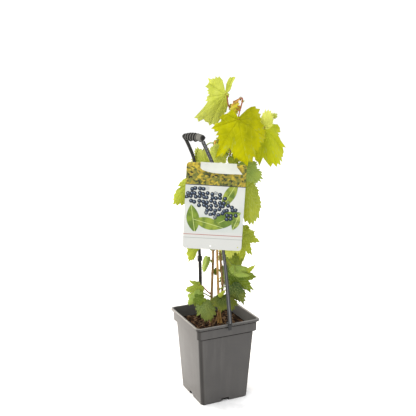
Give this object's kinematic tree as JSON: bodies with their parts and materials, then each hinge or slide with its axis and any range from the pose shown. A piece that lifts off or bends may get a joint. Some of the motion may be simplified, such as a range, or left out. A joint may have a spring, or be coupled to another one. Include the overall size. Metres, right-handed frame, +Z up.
{
  "type": "potted grapevine",
  "caption": "Young grapevine with lobed leaves in a tall square nursery pot, with a carry handle hooked over the rim and a picture card and paper slip on it.",
  "frame": {"origin": "centre of the pot's flat underside", "axes": "+Z up, -Y out of the pot's front face, +X to the right of it"},
  "size_m": [0.298, 0.1903, 0.798],
  "materials": {
    "pot": "satin moulded plastic",
    "bark_mix": "damp bark and peat",
    "ripe_wood": "ochre bark",
    "young_shoot": "smooth reddish-brown bark",
    "leaves": "waxy leaf",
    "handle": "satin moulded plastic",
    "card": "printed and varnished",
    "paper": "plain"
  },
  "bodies": {
    "root": {"pot": "pot", "soil": "bark_mix", "main_stem": "ripe_wood", "left_shoot": "young_shoot", "right_shoot": "young_shoot", "front_strap": "handle", "back_strap": "handle", "grip": "handle", "picture_card": "card", "paper_slip": "paper", "tip_leaves": "leaves", "front_leaves": "leaves", "right_top_leaves": "leaves", "right_tip_leaves": "leaves", "handle_side_leaves": "leaves", "upper_front_leaves": "leaves", "upper_right_leaves": "leaves", "right_leaves": "leaves", "upper_left_leaves": "leaves", "mid_right_leaves": "leaves", "mid_front_leaves": "leaves", "shade_leaves": "leaves", "curled_leaves": "leaves", "low_right_leaves": "leaves", "dark_right_leaves": "leaves", "low_front_leaves": "leaves", "foot_leaves": "leaves", "low_left_leaves": "leaves", "low_left_tip_leaves": "leaves", "hanging_leaves": "leaves", "small_leaves": "leaves", "mid_left_leaves": "leaves", "inner_low_leaves": "leaves", "inner_leaves": "leaves", "inner_right_leaves": "leaves", "back_low_leaves": "leaves", "back_mid_leaves": "leaves", "back_right_leaves": "leaves", "back_leaves": "leaves", "back_left_leaves": "leaves", "back_upper_leaves": "leaves", "back_high_leaves": "leaves", "back_top_left_leaves": "leaves", "back_top_leaves": "leaves"}
  },
  "joints": []
}
